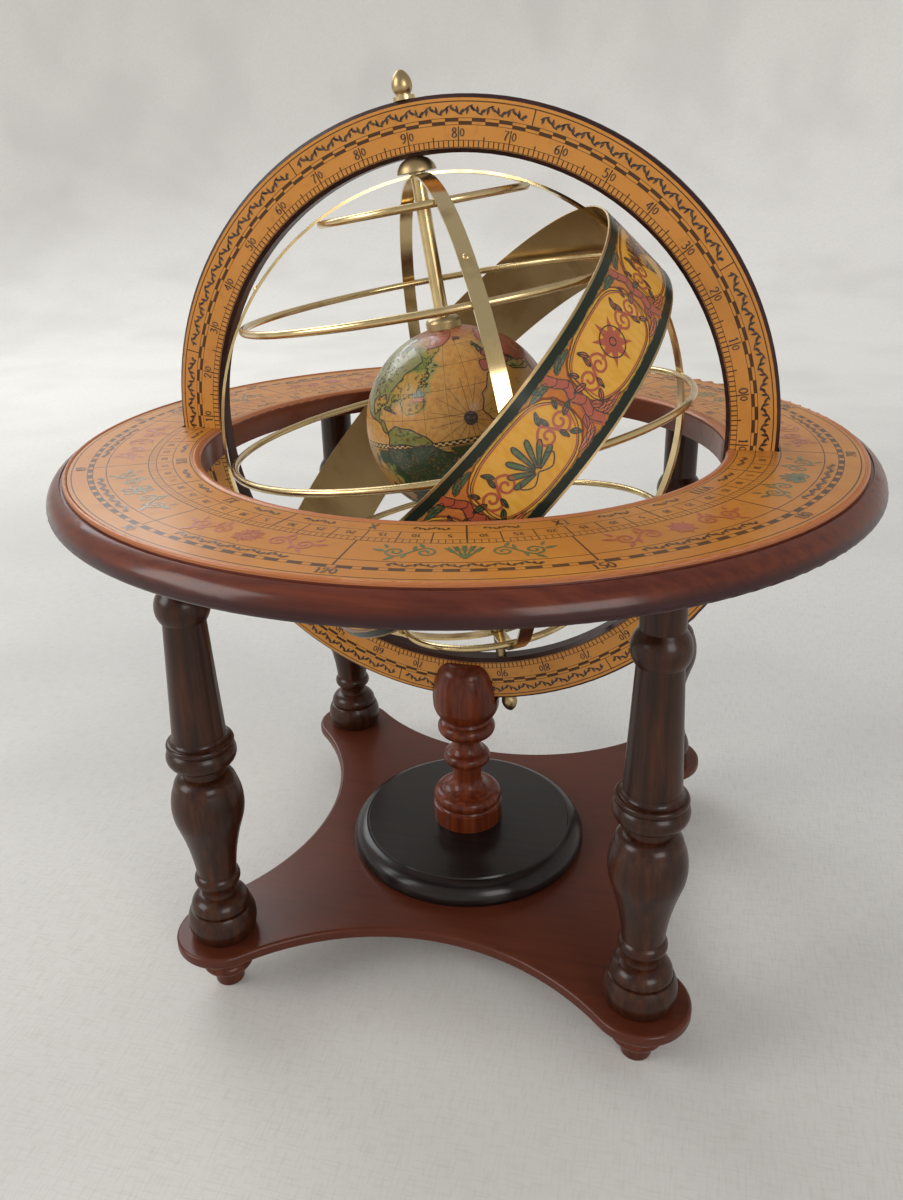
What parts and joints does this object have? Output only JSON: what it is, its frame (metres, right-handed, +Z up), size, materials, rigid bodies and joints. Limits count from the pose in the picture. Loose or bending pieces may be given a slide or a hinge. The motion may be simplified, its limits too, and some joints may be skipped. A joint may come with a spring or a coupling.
{
  "type": "armillary sphere",
  "caption": "Tabletop armillary sphere: globe in a turning brass ring cage with zodiac band, graduated meridian ring and horizon ring on a turned wooden stand.",
  "frame": {"origin": "on the surface the feet rest on, under the centre of the stand", "axes": "+Z up, X along the plane of the meridian ring (-X is the side its north pole leans towards), -Y the front of the meridian ring"},
  "size_m": [0.3185, 0.3186, 0.3516],
  "materials": {
    "plate_wood": "glossy red-brown varnish",
    "leg_wood": "glossy dark brown varnish",
    "bright_wood": "glossy orange-red varnish",
    "black_wood": "glossy near-black paint",
    "dowel_wood": "plain",
    "horizon_wood": "glossy red-brown varnish",
    "meridian_wood": "dark satin varnish",
    "horizon_print": "varnished printed paper, orange with dark lines",
    "meridian_print": "varnished printed paper, orange with dark lines",
    "zodiac_print": "varnished printed paper with coloured ovals",
    "globe_print": "varnished printed paper gores on a hollow ball",
    "brass": "dull antique brass",
    "steel": "plain"
  },
  "bodies": {
    "stand": {"base_plate": "plate_wood", "foot_front_left": "leg_wood", "foot_front_right": "leg_wood", "foot_back_left": "leg_wood", "foot_back_right": "leg_wood", "leg_front_left": "leg_wood", "leg_front_right": "leg_wood", "leg_back_left": "leg_wood", "leg_back_right": "leg_wood", "leg_screws": "steel", "leg_dowels": "dowel_wood", "pedestal_disc": "black_wood", "pedestal_column": "bright_wood", "pedestal_screw": "steel", "horizon_ring": "horizon_wood", "horizon_chart": "horizon_print"},
    "meridian": {"meridian_ring": "meridian_wood", "meridian_chart_front": "meridian_print", "meridian_chart_back": "meridian_print", "north_bush": "brass", "south_bush": "brass", "axis_rod": "brass", "north_washer": "brass", "north_finial": "brass", "south_finial": "brass", "north_cap": "brass", "south_spacer": "brass"},
    "cage": {"first_colure": "brass", "second_colure": "brass", "arctic_ring": "brass", "cancer_ring": "brass", "equator_ring": "brass", "capricorn_ring": "brass", "antarctic_ring": "brass", "zodiac_band": "brass", "zodiac_chart": "zodiac_print", "band_rivets": "brass", "colure_rivets": "brass"},
    "globe": {"globe_north_half": "globe_print", "globe_south_half": "globe_print", "globe_tube": "brass", "globe_collar_north": "brass", "globe_collar_south": "brass"}
  },
  "joints": [
    {"name": "meridian_slide", "type": "hinge", "parent": "stand", "child": "meridian", "pos_m": [0, 0, 0.2218], "axis": [0, -1, 0], "range_deg": [0, 70]},
    {"name": "cage_spin", "type": "hinge", "parent": "meridian", "child": "cage", "pos_m": [0, 0, 0.2218], "axis": [-0.1582, 0, 0.9874], "continuous": true},
    {"name": "globe_spin", "type": "hinge", "parent": "meridian", "child": "globe", "pos_m": [0, 0, 0.2218], "axis": [-0.1582, 0, 0.9874], "continuous": true}
  ]
}
